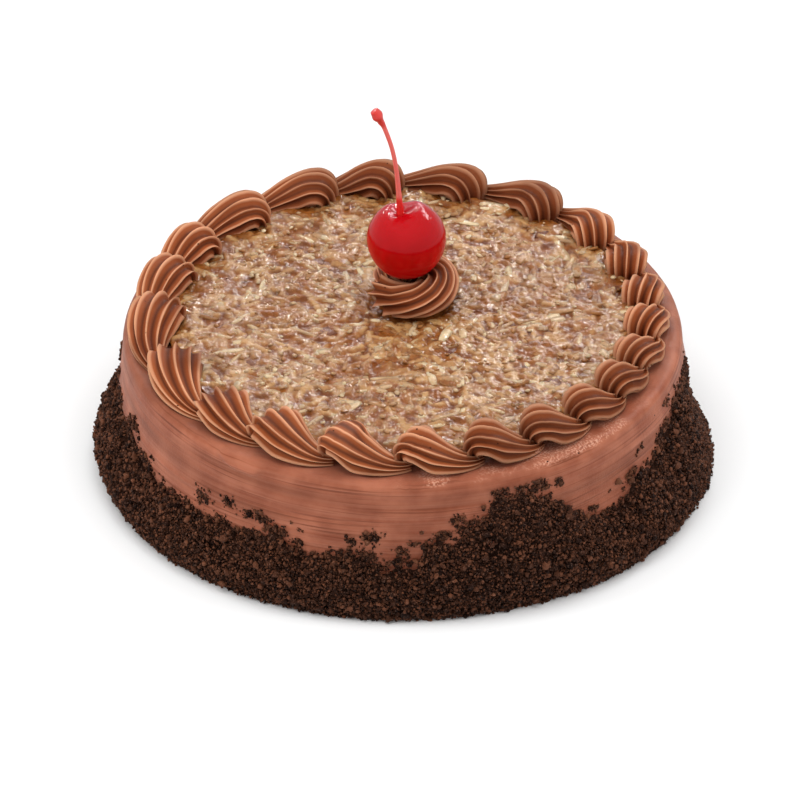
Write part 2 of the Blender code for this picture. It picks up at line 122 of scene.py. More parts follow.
# Coconut and pecan topping
TOPPING_BASE = 57.0 * MM
TOPPING_RADIUS = 90.0 * MM
TOPPING_CENTRE = (0.5 * MM, 2.0 * MM)
TOPPING_THICKNESS = 2.6 * MM
TOPPING_BUMPS = 0.8 * MM
TOPPING_SPOKES = 580
TOPPING_RINGS = 160
GLAZE_GRID = 0.4 * MM                # of the map that tells how the glaze lies over the shreds
SHREDS = 2300
SHRED_LENGTHS = (3.0 * MM, 12.5 * MM)
SHRED_WIDTHS = (1.5 * MM, 3.8 * MM)
SHRED_THICKNESSES = (0.7 * MM, 1.2 * MM)
FLAKES = 500
FLAKE_SIZES = (0.5 * MM, 1.2 * MM)
PECANS = 48
PECAN_SIZES = (1.2 * MM, 3.2 * MM)

# Rosette, cherry and stem
ROSETTE_BASE = 59.6 * MM
ROSETTE_CENTRE = (3.0 * MM, 14.5 * MM)
ROSETTE_RADIUS = 18.6 * MM
ROPE_HALF_WIDTH = 7.6 * MM
ROPE_HEIGHT = 14.0 * MM
ROPE_RISE = 2.6 * MM                 # of the rim, from its low side to its high side
ROPE_HIGH_SIDE = 20.0                # degrees
ROPE_START = 194.0                   # degrees
ROPE_TURN = 372.0                    # degrees
ROPE_TWIST = 300.0                   # degrees
ROPE_FLUTES = 11
ROPE_STATIONS = 110
CHERRY_CENTRE = (1.3 * MM, 14.5 * MM)
CHERRY_BASE = 71.2 * MM
CHERRY_RADIUS = 15.6 * MM
CHERRY_HEIGHT = 30.8 * MM
CHERRY_DIMPLE = 3.6 * MM
CHERRY_LOBES = 1.6 * MM               # rise of the right lobe and fall of the left one
CHERRY_CLEFT = 2.4 * MM              # depth of the fold between them
CHERRY_LEAN = 2.2 * MM               # of its top towards -X
CHERRY_SPOKES = 120
CHERRY_STATIONS = 72
STEM_RADIUS = 0.95 * MM
STEM_LENGTH = 45.2 * MM
STEM_SPOKES = 20
STEM_POINTS = (                      # from the dimple: across, up, thickness as a share
    (0.0, -1.0, 1.65), (-0.1, 1.6, 1.42), (-0.4, 5.0, 1.25), (-0.9, 11.0, 1.05), (-1.8, 20.0, 0.92),
    (-3.4, 29.0, 0.88), (-6.0, 37.5, 0.92), (-7.4, 40.6, 1.35), (-8.6, 42.9, 2.25), (-10.0, 45.2, 1.70))

# Marks of the spatula and of the torn lip, in the frosting's tones
BAND_STREAKS = 20 / 4.4              # streaks in the height of one band of strokes
LINES_A_STREAK = 1.6                 # dark lines in the height of one streak
TORN_TONE = "#cd967d"
# painted shade in the pits of burst air bubbles
PIT_SHADE_TONE = "#2e1108"

# Small bare lamps behind the cake, whose glints the ripples of the wet glaze break into sparkles.
# They are only mirrored, and light nothing: across and up, in metres.
SPARKLES = ((-0.55, 0.60), (-0.30, 0.95), (0.10, 1.10), (0.15, 0.45), (0.45, 0.75), (-0.10, 0.70))

# Camera, as the photograph was taken
CAMERA_ELEVATION = 34.2              # degrees
CAMERA_DISTANCE = 2.54
CAMERA_TARGET = Vector((-1.15 * MM, 0.0, 23.0 * MM))
CAMERA_LENS = 298.0                  # mm on a 36 mm sensor


def lerp(a, b, share):
    return a + (b - a) * share


def smooth(low, high, value):
    """0 below low, 1 above high and an S-curve between."""
    share = min(1.0, max(0.0, (value - low) / (high - low)))
    return share * share * (3.0 - 2.0 * share)


def hills(angle, table):
    """Sum of the smooth hills in a table of (angle, height, spread) at an angle in degrees."""
    total = 0.0
    for centre, height, spread in table:
        away = (angle - centre + 180.0) % 360.0 - 180.0
        total += height * math.exp(-0.5 * (away / spread) ** 2)
    return total


def rough(point, size):
    """Smooth noise from -1 to 1 whose bumps are about as wide as size."""
    return noise.noise(point / size)


# Materials

def linear(code):
    """An sRGB hex value as linear RGBA."""
    parts = [int(code[i:i + 2], 16) / 255.0 for i in (1, 3, 5)]
    return (*[c / 12.92 if c <= 0.04045 else ((c + 0.055) / 1.055) ** 2.4 for c in parts], 1.0)


def add(tree, kind, **settings):
    """Add a node with its settings and links.

    A small name is a property, Base_Color an input by name and _6 one by number. An input takes a
    value, a socket, or a node for its first output.
    """
    node = tree.nodes.new("ShaderNode" + kind)
    for name, value in settings.items():
        if name[0].islower():
            setattr(node, name, value)
            continue
        socket = node.inputs[int(name[1:])] if name[0] == "_" else node.inputs[name.replace("_", " ")]
        if isinstance(value, bpy.types.Node):
            value = value.outputs[0]
        if isinstance(value, bpy.types.NodeSocket):
            tree.links.new(value, socket)
        else:
            socket.default_value = value
    return node


def new_finish(name, **settings):
    """A material with its Principled shader, and the place of a point on the object."""
    made = bpy.data.materials.new(name)
    made.use_nodes = True
    tree = made.node_tree
    tree.nodes.clear()
    shader = add(tree, "BsdfPrincipled", **settings)
    add(tree, "OutputMaterial", Surface=shader)
    place = add(tree, "TexCoord").outputs["Object"]
    return made, tree, shader, place


def whipped_frosting(
        name, dark, body, pale, channel_shade_and_mark_tone, streak_height, streak_share, gloss, mirror, sheen):
    """Whipped chocolate buttercream, piped or smoothed with a spatula: a soft satin without sparkle.

    Fat and air are never evenly mixed, so its tone drifts over about a centimetre. Thin crests let
    light through and are painted paler besides, a painted highlight; the channels between them are
    painted darker, as painted shade. Burst air bubbles leave small pits, painted dark as the shade
    in them. The tool leaves level streaks about streak_height high, and streak_share is how much of
    the pale tone they carry at most.
    """
    made, tree, shader, place = new_finish(
        name, Roughness=gloss, IOR=1.46, Subsurface_Weight=0.10, Subsurface_Scale=0.9 * MM,
        Subsurface_Radius=(1.0, 0.42, 0.25), Specular_IOR_Level=mirror,
        Sheen_Weight=sheen, Sheen_Roughness=0.45, Sheen_Tint=linear("#f0dcd8"))
    drift = add(tree, "TexNoise", Vector=place, Scale=1 / (13 * MM), Detail=3.0)
    tone = add(tree, "MapRange", Value=drift, _1=0.35, _2=0.65)
    crest = add(tree, "Attribute", attribute_name="crest").outputs["Fac"]
    # painted shade: the floor of each channel is darkened towards the channel tone
    painted_channel_shade = add(tree, "MapRange", Value=crest, _1=0.66, _2=0.10, _3=0.0, _4=0.92)
    # painted highlight: the crests are made paler
    thin = add(tree, "MapRange", Value=crest, _1=0.74, _2=0.98)
    # bands where one stroke ended and the next began, 11 cm long and some 4.5 streaks high
    strokes = (1 / (110 * MM), 1 / (110 * MM), 1 / (BAND_STREAKS * streak_height))
    stroke = add(tree, "Mapping", Vector=place, Scale=strokes)
    bands = add(tree, "TexNoise", Vector=stroke, Scale=1.0, Detail=1.0)
    shade = add(tree, "MapRange", Value=bands, _1=0.50, _2=0.66, _3=0.0, _4=0.45)
    # streaks lie level, 7 cm long, where the tool went round
    sweeps = (1 / (70 * MM), 1 / (70 * MM), 1 / streak_height)
    level = add(tree, "Mapping", Vector=place, Scale=sweeps)
    streaks = add(tree, "TexNoise", Vector=level, Scale=1.0, Detail=4.0, Roughness=0.6)
    streak = add(tree, "MapRange", Value=streaks, _1=0.3, _2=0.75, _3=0.0, _4=streak_share)
    # and thin darker lines, 5 cm long, where it dragged a crumb
    drags = (1 / (50 * MM), 1 / (50 * MM), LINES_A_STREAK / streak_height)
    drag = add(tree, "Mapping", Vector=place, Scale=drags)
    scores = add(tree, "TexNoise", Vector=drag, Scale=1.0, Detail=2.0)
    line = add(tree, "MapRange", Value=scores, _1=0.56, _2=0.72, _3=0.0, _4=0.75)
    # one burst bubble of up to 0.7 mm in about a third of the cells, which are 6 mm wide
    cells = add(tree, "TexVoronoi", Vector=place, Scale=1 / (6 * MM))
    near = add(tree, "MapRange", Value=cells.outputs["Distance"], _1=0.075, _2=0.04)
    chosen = add(tree, "SeparateColor", Color=cells.outputs["Color"])
    rare = add(tree, "Math", operation="GREATER_THAN", _0=chosen, _1=0.66)
    # painted shade: the pits are painted dark, as well as dented in the relief below
    pit = add(tree, "Math", operation="MULTIPLY", _0=near, _1=rare)
    # the front of the lip, under the border, is torn into pale specks of about 0.8 mm
    spot = add(tree, "SeparateXYZ", Vector=place)
    above = add(tree, "MapRange", Value=spot.outputs[2], _1=55.2 * MM, _2=56.0 * MM)
    below = add(tree, "Math", operation="LESS_THAN", _0=spot.outputs[2], _1=58 * MM)
    fore = add(tree, "MapRange", Value=spot.outputs[1], _1=-45 * MM, _2=-75 * MM)
    right = add(tree, "MapRange", Value=spot.outputs[0], _1=-5 * MM, _2=12 * MM)
    parted = add(tree, "MapRange", Value=drift, _1=0.42, _2=0.58)
    specks = add(tree, "TexNoise", Vector=place, Scale=1 / (0.8 * MM), Detail=2.0)
    torn = add(tree, "MapRange", Value=specks, _1=0.47, _2=0.60, _3=0.0, _4=0.9)
    for limit in (above, below, fore, right, parted):
        torn = add(tree, "Math", operation="MULTIPLY", _0=torn, _1=limit)
    # each tone lies over those before it
    layers = (
        (tone, body), (painted_channel_shade, channel_shade_and_mark_tone), (thin, pale), (shade, channel_shade_and_mark_tone), (streak, pale),
        (line, channel_shade_and_mark_tone), (torn, TORN_TONE), (pit, PIT_SHADE_TONE))
    colour = linear(dark)
    for share, over in layers:
        mixed = add(tree, "Mix", data_type="RGBA", _0=share, _6=colour, _7=linear(over))
        colour = mixed.outputs[2]
    tree.links.new(colour, shader.inputs["Base Color"])
    grain = add(tree, "TexNoise", Vector=place, Scale=1 / (0.9 * MM), Detail=4.0, Roughness=0.65)
    relief = add(tree, "Math", operation="SUBTRACT", _0=grain, _1=pit)
    lined = add(tree, "Math", operation="ADD", _0=relief, _1=streaks)
    bump = add(tree, "Bump", Height=lined, Strength=0.55, Distance=0.25 * MM)
    tree.links.new(bump.outputs[0], shader.inputs["Normal"])
    return made


def cake_crumbs(name, dark, body, pale):
    """Dry dark chocolate crumbs: matt and porous, each a little lighter or darker than the next."""
    made, tree, shader, place = new_finish(name, Roughness=0.62, IOR=1.45, Specular_IOR_Level=0.16)
    tone = add(tree, "Attribute", attribute_name="tone").outputs["Fac"]
    mixed = add(tree, "Mix", data_type="RGBA", _0=tone, _6=linear(dark), _7=linear(body))
    # pores of about 0.6 mm
    pores = add(tree, "TexNoise", Vector=place, Scale=1 / (0.6 * MM), Detail=3.0, Roughness=0.7)
    fleck = add(tree, "MapRange", Value=pores, _1=0.55, _2=0.8, _3=0.0, _4=0.5)
    flecked = add(tree, "Mix", data_type="RGBA", _0=fleck, _6=mixed.outputs[2], _7=linear(pale))
    tree.links.new(flecked.outputs[2], shader.inputs["Base Color"])
    bump = add(tree, "Bump", Height=pores, Strength=0.9, Distance=0.35 * MM)
    tree.links.new(bump.outputs[0], shader.inputs["Normal"])
    return made


def glazed(name, dark, body, pale, patch, ripple, share, **settings):
    """Anything that a sticky glaze covers: two tones over patches, a pale fleck, and wet ripples.

    The ripples of the glaze, about as wide as ripple, are what breaks each light into sparkles.
    """
    made, tree, shader, place = new_finish(name, **settings)
    drift = add(tree, "TexNoise", Vector=place, Scale=1 / patch, Detail=3.0, Roughness=0.6)
    spread = add(tree, "MapRange", Value=drift, _1=0.36, _2=0.62)
    tone = add(tree, "Attribute", attribute_name=share)
    # where the glaze is thick, in pools about 16 mm wide, its amber lies over everything
    pools = add(tree, "TexNoise", Vector=place, Scale=1 / (16 * MM), Detail=3.0, Roughness=0.6)
    thick = add(tree, "MapRange", Value=pools, _1=0.50, _2=0.68, _3=0.0, _4=0.55)
    colour = linear(dark)
    for over, shade in ((spread, body), (tone.outputs["Fac"], pale), (thick, body)):
        mixed = add(tree, "Mix", data_type="RGBA", _0=over, _6=colour, _7=linear(shade))
        colour = mixed.outputs[2]
    tree.links.new(colour, shader.inputs["Base Color"])
    waves = add(tree, "TexNoise", Vector=place, Scale=1 / ripple, Detail=2.0, Roughness=0.4)
    bump = add(tree, "Bump", Height=waves, Strength=0.8, Distance=0.5 * ripple)
    tree.links.new(bump.outputs[0], shader.inputs["Normal"])
    tree.links.new(bump.outputs[0], shader.inputs["Coat Normal"])
    return made


def candied_skin(name):
    """The skin of a candied cherry: dyed deep red, wet with syrup, and clear enough to glow."""
    made, tree, shader, place = new_finish(
        name, Roughness=0.25, IOR=1.42, Specular_IOR_Level=0.05, Subsurface_Weight=0.3,
        Subsurface_Scale=2 * MM, Subsurface_Radius=(1.0, 0.04, 0.04), Coat_Roughness=0.06, Coat_IOR=1.42)
    # the flesh shows through in faint streaks some 6 mm apart that run from the stalk down
    grown = (1 / (6 * MM), 1 / (6 * MM), 1 / (22 * MM))
    drift = add(tree, "Mapping", Vector=place, Scale=grown)
    flesh = add(tree, "TexNoise", Vector=drift, Scale=1.0, Detail=2.0)
    spread = add(tree, "MapRange", Value=flesh, _1=0.35, _2=0.7)
    # the upper part is a darker, bluer red, and its coat of syrup is fuller, so it mirrors more
    spot = add(tree, "SeparateXYZ", Vector=place)
    upper = add(
        tree, "MapRange", Value=spot.outputs[2], _1=CHERRY_BASE + 0.40 * CHERRY_HEIGHT,
        _2=CHERRY_BASE + 0.75 * CHERRY_HEIGHT)
    colour = linear("#b40003")
    for share, over in ((spread, "#cc0009"), (upper, "#b0000a")):
        mixed = add(tree, "Mix", data_type="RGBA", _0=share, _6=colour, _7=linear(over))
        colour = mixed.outputs[2]
    tree.links.new(colour, shader.inputs["Base Color"])
    syrup = add(tree, "MapRange", Value=upper, _3=0.35, _4=1.0)
    tree.links.new(syrup.outputs[0], shader.inputs["Coat Weight"])
    # the skin puckers by a fraction of a millimetre, and most towards the stalk
    pucker = add(tree, "TexNoise", Vector=place, Scale=1 / (2.0 * MM), Detail=2.0)
    strength = add(
        tree, "MapRange", Value=spot.outputs[2], _1=CHERRY_BASE + 0.76 * CHERRY_HEIGHT,
        _2=CHERRY_BASE + 0.88 * CHERRY_HEIGHT, _3=0.12, _4=0.8)
    bump = add(tree, "Bump", Height=pucker, Strength=strength, Distance=0.3 * MM)
    tree.links.new(bump.outputs[0], shader.inputs["Normal"])
    tree.links.new(bump.outputs[0], shader.inputs["Coat Normal"])
    return made


def dyed_stalk(name):
    """A cherry stalk steeped in the same dye: thin, so light comes through it, darker at its foot."""
    made, tree, shader, place = new_finish(
        name, Roughness=0.34, IOR=1.45, Subsurface_Weight=0.5, Subsurface_Scale=1.5 * MM,
        Subsurface_Radius=(1.0, 0.3, 0.25), Coat_Weight=0.5, Coat_Roughness=0.15)
    height = add(tree, "SeparateXYZ", Vector=place).outputs[2]
    foot = CHERRY_BASE + CHERRY_HEIGHT - CHERRY_DIMPLE
    tip = foot + STEM_LENGTH
    colour = linear("#d8201c")
    for start, over in ((foot + 6.5 * MM, "#e26a62"), (tip - 7 * MM, "#d23a34")):
        share = add(tree, "MapRange", Value=height, _1=start, _2=start + 2 * MM)
        mixed = add(tree, "Mix", data_type="RGBA", _0=share, _6=colour, _7=linear(over))
        colour = mixed.outputs[2]
    tree.links.new(colour, shader.inputs["Base Color"])
    # the fibres of the stalk, 0.4 mm apart, run along it
    along = (1 / (0.4 * MM), 1 / (0.4 * MM), 1 / (9 * MM))
    fibres = add(tree, "Mapping", Vector=place, Scale=along)
    lines = add(tree, "TexNoise", Vector=fibres, Scale=1.0, Detail=2.0)
    bump = add(tree, "Bump", Height=lines, Strength=0.4, Distance=0.15 * MM)
    tree.links.new(bump.outputs[0], shader.inputs["Normal"])
    return made


# Making meshes

def finish_piece(name, mesh, finish, nodes):
    """Put a mesh into the scene as a piece of the cake that stands for these solids."""
    mesh.shade_smooth()
    mesh.materials.append(finish)
    made = bpy.data.objects.new(name, mesh)
    bpy.context.scene.collection.objects.link(made)
    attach(made, "root")
    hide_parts(*nodes)
    return made


def loft(spokes, stations, place, crest_of=None):
    """A closed skin: a ring of points, extruded from station to station, capped at both ends.

    place(station, spoke) gives each point, and crest_of how much of a crest or a tone it carries.
    """
    bm = bmesh.new()
    spoke_of = bm.verts.layers.int.new("spoke")
    mark = bm.verts.layers.float.new("crest")
    ring = bmesh.ops.create_circle(bm, cap_ends=True, segments=spokes, radius=1.0)["verts"]
    edges = bm.edges[:]
    for index, vert in enumerate(ring):
        vert[spoke_of] = index
    for number, station in enumerate(stations):
        if number:
            grown = bmesh.ops.extrude_edge_only(bm, edges=edges)["geom"]
            ring = [item for item in grown if isinstance(item, bmesh.types.BMVert)]
            fresh = set(ring)
            edges = [item for item in grown if isinstance(item, bmesh.types.BMEdge)
                     and item.verts[0] in fresh and item.verts[1] in fresh]
        for vert in ring:
            vert.co = place(station, vert[spoke_of])
            if crest_of:
                vert[mark] = crest_of(station, vert[spoke_of])
    bm.faces.new(sorted(ring, key=lambda vert: vert[spoke_of]))
    bm.verts.layers.int.remove(bm.verts.layers.int["spoke"])
    bmesh.ops.recalc_face_normals(bm, faces=bm.faces)
    if bm.calc_volume(signed=True) < 0.0:
        bmesh.ops.reverse_faces(bm, faces=bm.faces)
    return bm


def to_mesh(name, bm):
    mesh = bpy.data.meshes.new(name)
    bm.to_mesh(mesh)
    bm.free()
    return mesh


def cut_flat(bm, height):
    """Cut away what lies under a height and close the cut."""
    everything = bm.verts[:] + bm.edges[:] + bm.faces[:]
    bmesh.ops.bisect_plane(
        bm, geom=everything, dist=1e-7, plane_co=(0, 0, height), plane_no=(0, 0, 1), clear_inner=True)
    bmesh.ops.holes_fill(bm, edges=[e for e in bm.edges if e.is_boundary], sides=0)


def bit_arrays(bm):
    """Corners and triangles of a small modelled bit, as arrays."""
    bmesh.ops.triangulate(bm, faces=bm.faces)
    corners = np.array([vert.co for vert in bm.verts], dtype=np.float32)
    triangles = np.array([[vert.index for vert in face.verts] for face in bm.faces], dtype=np.int32)
    bm.free()
    return corners, triangles


def joined(name, bits, places):
    """One mesh of many copies. Each place is the number of a bit, its matrix and its tone."""
    corners, triangles, tones = [], [], []
    count = 0
    for number, (bit, faces) in enumerate(bits):
        chosen = [place for place in places if place[0] == number]
        if not chosen:
            continue
        matrices = np.array([place[1] for place in chosen], dtype=np.float32)
        moved = np.einsum("kij,nj->kni", matrices[:, :3, :3], bit) + matrices[:, None, :3, 3]
        corners.append(moved.reshape(-1, 3))
        starts = count + len(bit) * np.arange(len(chosen), dtype=np.int32)
        triangles.append((faces[None] + starts[:, None, None]).reshape(-1, 3))
        tones.append(np.repeat(np.array([place[2] for place in chosen], dtype=np.float32), len(bit)))
        count += len(bit) * len(chosen)
    corners = np.concatenate(corners)
    corners[:, 2] = np.maximum(corners[:, 2], 0.0)      # what lies on the ground is flat there
    mesh = bpy.data.meshes.new(name)
    mesh.from_pydata(corners, [], np.concatenate(triangles))
    tone = mesh.attributes.new("tone", "FLOAT", "POINT")
    tone.data.foreach_set("value", np.concatenate(tones))
    return mesh


def pose(centre, normal, spin, size):
    """Matrix that stands a bit on a surface: its Z along the normal, turned by spin, and scaled."""
    up = normal.to_track_quat("Z", "Y").to_matrix().to_4x4()
    scale = Matrix.Diagonal((*size, 1.0))
    return Matrix.Translation(centre) @ up @ Matrix.Rotation(spin, 4, "Z") @ scale


# The frosted layer

def frosting_radius(z):
    """Outer radius of the bare frosting: a slight barrel with a rounded lip at the top."""
    waist = 0.45 * LAYER_HEIGHT
    radius = WAIST_RADIUS - (WAIST_RADIUS - RIM_RADIUS) * ((z - waist) / (LAYER_HEIGHT - waist)) ** 2
    drop = max(0.0, z - (LAYER_HEIGHT - LIP_RADIUS))
    return radius - (LIP_RADIUS - math.sqrt(max(0.0, LIP_RADIUS ** 2 - drop ** 2)))


def spatula_marks(degrees, z):
    """How far the frosting stands out of its round form at a point of its side."""
    turn = math.radians(degrees)
    around = Vector((math.cos(turn), math.sin(turn), 0.0)) * WAIST_RADIUS
    up = Vector((0.0, 0.0, z))
    sweep = noise.noise(around / (45 * MM) + up / (14 * MM)) * 0.55 * MM
    sweep += noise.noise(around / (38 * MM) + up / (3.2 * MM) + Vector((7, 0, 0))) * 0.30 * MM
    sweep += noise.noise(around / (22 * MM) + up / (1.3 * MM)) * 0.12 * MM
    if ROUGH_LIP[0] < degrees < ROUGH_LIP[1]:
        ends = smooth(0, 8, min(degrees - ROUGH_LIP[0], ROUGH_LIP[1] - degrees))
        torn = smooth(52.5 * MM, 55.5 * MM, z) * ends
        grain = 0.45 * MM * rough(around + up, 1.6 * MM) + 0.25 * MM * rough(around + up, 0.8 * MM)
        sweep += torn * grain
    away = math.hypot((degrees - SMEAR[0]) / SMEAR_SIZE[0], (z - SMEAR[1]) / SMEAR_SIZE[1])
    away += 0.18 * rough(around + up, 5 * MM)
    return sweep + 0.8 * MM * smooth(1.06, 0.92, away) * smooth(-0.2, 0.9, away)


def build_layer(finish):
    side = [LAYER_STEP * step for step in range(int((LAYER_HEIGHT - LIP_RADIUS) / LAYER_STEP) + 1)]
    angles = [math.radians(angle) for angle in range(12, 91, 13)]
    lip = [LAYER_HEIGHT - LIP_RADIUS * (1.0 - math.sin(angle)) for angle in angles]
    stations = [(z, 0.0) for z in side + lip]
    stations += [(LAYER_HEIGHT, inset * MM) for inset in (0.8, 1.6, 2.4, 3.4, 5.0, 8.0, 14.0)]

    def place(station, spoke):
        z, inset = station
        degrees = 360.0 * spoke / LAYER_SPOKES
        turn = math.radians(degrees)
        marks = spatula_marks(degrees, z)
        radius = frosting_radius(min(z, LAYER_HEIGHT)) + marks * (1.0 - smooth(0.0, 3 * MM, inset)) - inset
        point = Vector((radius * math.cos(turn), radius * math.sin(turn), z))
        lifted = smooth(LAYER_HEIGHT - LIP_RADIUS, LAYER_HEIGHT, z)
        point.z += lifted * (0.35 * MM * rough(point, 7 * MM) + 0.15 * MM * rough(point, 1.8 * MM))
        return point

    bm = loft(LAYER_SPOKES, stations, place, lambda at, spoke: PLAIN_TONE)
    finish_piece("frosted_layer", to_mesh("frosted_layer", bm), finish, ["cake"])


# The crumb coat

def coat_edge(degrees):
    return COAT_HEIGHT + hills(degrees, COAT_PEAKS) + hills(degrees, COAT_TUFTS)


def ragged_edge(degrees):
    """Upper edge of the crumbs with its small tongues and notches."""
    turn = math.radians(degrees)
    around = Vector((math.cos(turn), math.sin(turn), 0.0)) * WAIST_RADIUS
    return coat_edge(degrees) + 3.2 * MM * rough(around, 9 * MM) + 2.2 * MM * rough(around, 3 * MM)


def bareness(degrees, z, edge):
    """How bare of crumbs a point is: in the thin patches of the coat and in the gaps near its edge."""
    bare = 0.0
    for centre, height, wide, high in BARE_PATCHES:
        bare += math.exp(-((degrees - centre) / wide) ** 2 - ((z - height) / high) ** 2)
    turn = math.radians(degrees)
    point = Vector((math.cos(turn) * WAIST_RADIUS, math.sin(turn) * WAIST_RADIUS, z))
    thin = smooth(edge - LACE_DEPTH, edge, z)
    bare += smooth(0.55 - 0.9 * thin, 0.75 - 0.9 * thin, rough(point, 2.6 * MM)) * smooth(0.0, 0.35, thin)
    return min(1.0, bare)


def coat_thickness(degrees, z, edge):
    share = z / edge
    if share >= 1.0:
        return -0.6 * MM
    swell = COAT_SWELL + hills(degrees, COAT_SWELLINGS)
    piled = min(1.0, 0.72 + 0.9 * share) * (1.0 - share ** 2.2)
    slid = 1.25 * (1.0 - share) ** 2
    return swell * lerp(piled, slid, min(1.0, hills(degrees, COAT_SLUMPS))) - 0.6 * MM


def bed_radius(degrees, z, edge):
    """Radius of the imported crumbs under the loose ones; inside the frosting where there are none."""
    thick = coat_thickness(degrees, z, edge)
    bare = bareness(degrees, z, edge)
    return frosting_radius(z) + lerp(thick, min(thick, -0.5 * MM), bare)


def build_crumb_bed(finish):
    heights = [BED_STEP * step for step in range(int(BED_TOP / BED_STEP))]

    def place(z, spoke):
        degrees = 360.0 * spoke / BED_SPOKES
        turn = math.radians(degrees)
        edge = ragged_edge(degrees)
        radius = bed_radius(degrees, z, edge)
        point = Vector((radius * math.cos(turn), radius * math.sin(turn), z))
        bumps = 1.0 * MM * rough(point, 3.6 * MM) + 0.75 * MM * rough(point, 1.5 * MM)
        bumps += 0.40 * MM * rough(point, 0.75 * MM)
        radius += bumps - 1.2 * MM * smooth(edge - 1 * MM, edge + 2 * MM, z)
        return Vector((radius * math.cos(turn), radius * math.sin(turn), z))

    bm = loft(BED_SPOKES, heights, place)
    mesh = to_mesh("crumb_bed", bm)
    # one dark crumb tone for the whole bed, darker than most loose crumbs: partly the crumbs' colour,
    # partly painted shade in the gaps between them
    tone = mesh.attributes.new("tone", "FLOAT", "POINT")
    tone.data.foreach_set("value", np.full(len(mesh.vertices), 0.15, dtype=np.float32))
    finish_piece("crumb_bed", mesh, finish, ["cake"])


def crumb_bit(draw, detail, unevenness):
    """One irregular crumb of about unit radius."""
    bm = bmesh.new()
    if detail:
        bmesh.ops.create_icosphere(bm, subdivisions=detail, radius=1.0)
    else:
        bmesh.ops.create_cone(bm, cap_ends=True, segments=4, radius1=1.0, radius2=0.0, depth=1.5)
    offset = Vector([draw.uniform(0, 50) for _ in range(3)])
    for vert in bm.verts:
        vert.co *= 1.0 + unevenness * noise.noise(vert.co * 1.4 + offset) + draw.uniform(-0.10, 0.10)
    return bit_arrays(bm)


def crumb_clusters(draw):
    """Angle, height and spread of the small clusters over the edge of the coat."""
    clusters = []
    for _ in range(CLUSTERS):
        degrees = draw.uniform(0.0, 360.0)
        over = 10 * MM * draw.random() ** 2.2 - 1 * MM
        spread = lerp(*CLUSTER_SPREADS, draw.random() ** 2)
        clusters.append((degrees, ragged_edge(degrees) + over, spread))
    return clusters


def crumb_places(draw, clusters, kinds, count, smallest, largest, stray):
    """Places of crumbs on the coat. A stray crumb lies in a cluster on the bare frosting."""
    places = []
    bulk = [spread ** 2 for _, _, spread in clusters]
    while len(places) < count:
        degrees = draw.uniform(0.0, 360.0)
        edge = ragged_edge(degrees)
        size = lerp(smallest, largest, draw.random() ** 1.6)
        if draw.random() < stray:
            degrees, z, spread = draw.choices(clusters, bulk)[0]
            degrees += math.degrees(draw.gauss(0, spread) / WAIST_RADIUS)
            z += draw.gauss(0, 0.8 * spread)
            if z > LAYER_HEIGHT - 5 * MM:
                continue
            thick = 0.0
        else:
            z = edge * draw.random()
            if draw.random() < bareness(degrees, z, edge) * 0.93:
                continue
            thick = max(0.0, coat_thickness(degrees, z, edge))
        turn = math.radians(degrees)
        outward = Vector((math.cos(turn), math.sin(turn), 0.0))
        piled = draw.uniform(0.1, 0.75) * size + (draw.random() ** 3) * min(1.4 * MM, thick)
        radius = frosting_radius(z) + thick + piled
        centre = outward * radius + Vector((0.0, 0.0, max(z, 0.7 * size)))
        normal = Vector([draw.uniform(-1, 1) for _ in range(3)]).normalized()
        shape = [size * draw.uniform(0.75, 1.25) for _ in range(3)]
        tone = draw.random() ** 1.5
        kind = draw.randrange(kinds)
        places.append((kind, pose(centre, normal, draw.uniform(0, math.tau), shape), tone))
    return places


def build_crumbs(finish):
    draw = random.Random(SEED)
    clusters = crumb_clusters(draw)
    for name, detail, count, smallest, largest, stray in CRUMB_KINDS:
        bits = [crumb_bit(draw, detail, 0.35 + 0.25 * detail) for _ in range(4 + 2 * detail)]
        places = crumb_places(draw, clusters, len(bits), count, smallest, largest, stray)
        finish_piece(name, joined(name, bits, places), finish, ["cake"])


# The piped border

def flute(spoke):
    """Height of a channel's round floor and sharp crests: 1 on a crest, 0 in the middle."""
    return ridge_tone(spoke) ** 2.8


def ridge_tone(spoke):
    """From 0 in the middle of a channel to 1 on a crest, evenly."""
    return abs(2.0 * (spoke % FLUTE_SPOKES) / FLUTE_SPOKES - 1.0)


def shell_shapes():
    """Sizes of every shell in the border, as its solid has them, in order from SHELL_START."""
    draw = random.Random(21)
    start = SHELL_START
    shapes = []
    for number, step in enumerate(SHELL_STEPS):
        length = math.radians(step) * SHELL_RING_RADIUS
        size = min(1.0, 0.62 + 0.38 * length / (26.0 * MM))
        narrowing = SHELL_NARROWING * max(0.0, math.cos(math.radians(start))) ** 2
        shapes.append({
            "number": number + 1,
            "pivot": SHELL_CURLS.get(number + 1, SHELL_PIVOT),
            "angle": math.radians(start) + size * SHELL_BACK / SHELL_RING_RADIUS,
            "back": size * SHELL_BACK,
            "height": SHELL_HEIGHT * draw.uniform(0.95, 1.05),
            "half_width": (SHELL_HALF_WIDTH - narrowing) * draw.uniform(0.96, 1.03),
            "tail": length - size * SHELL_BACK + SHELL_OVERLAP,
            "phase": draw.uniform(-0.12, 0.12),
            "yaw": math.radians(SHELL_YAW) + draw.uniform(-0.03, 0.06)})
        start += step
    return shapes


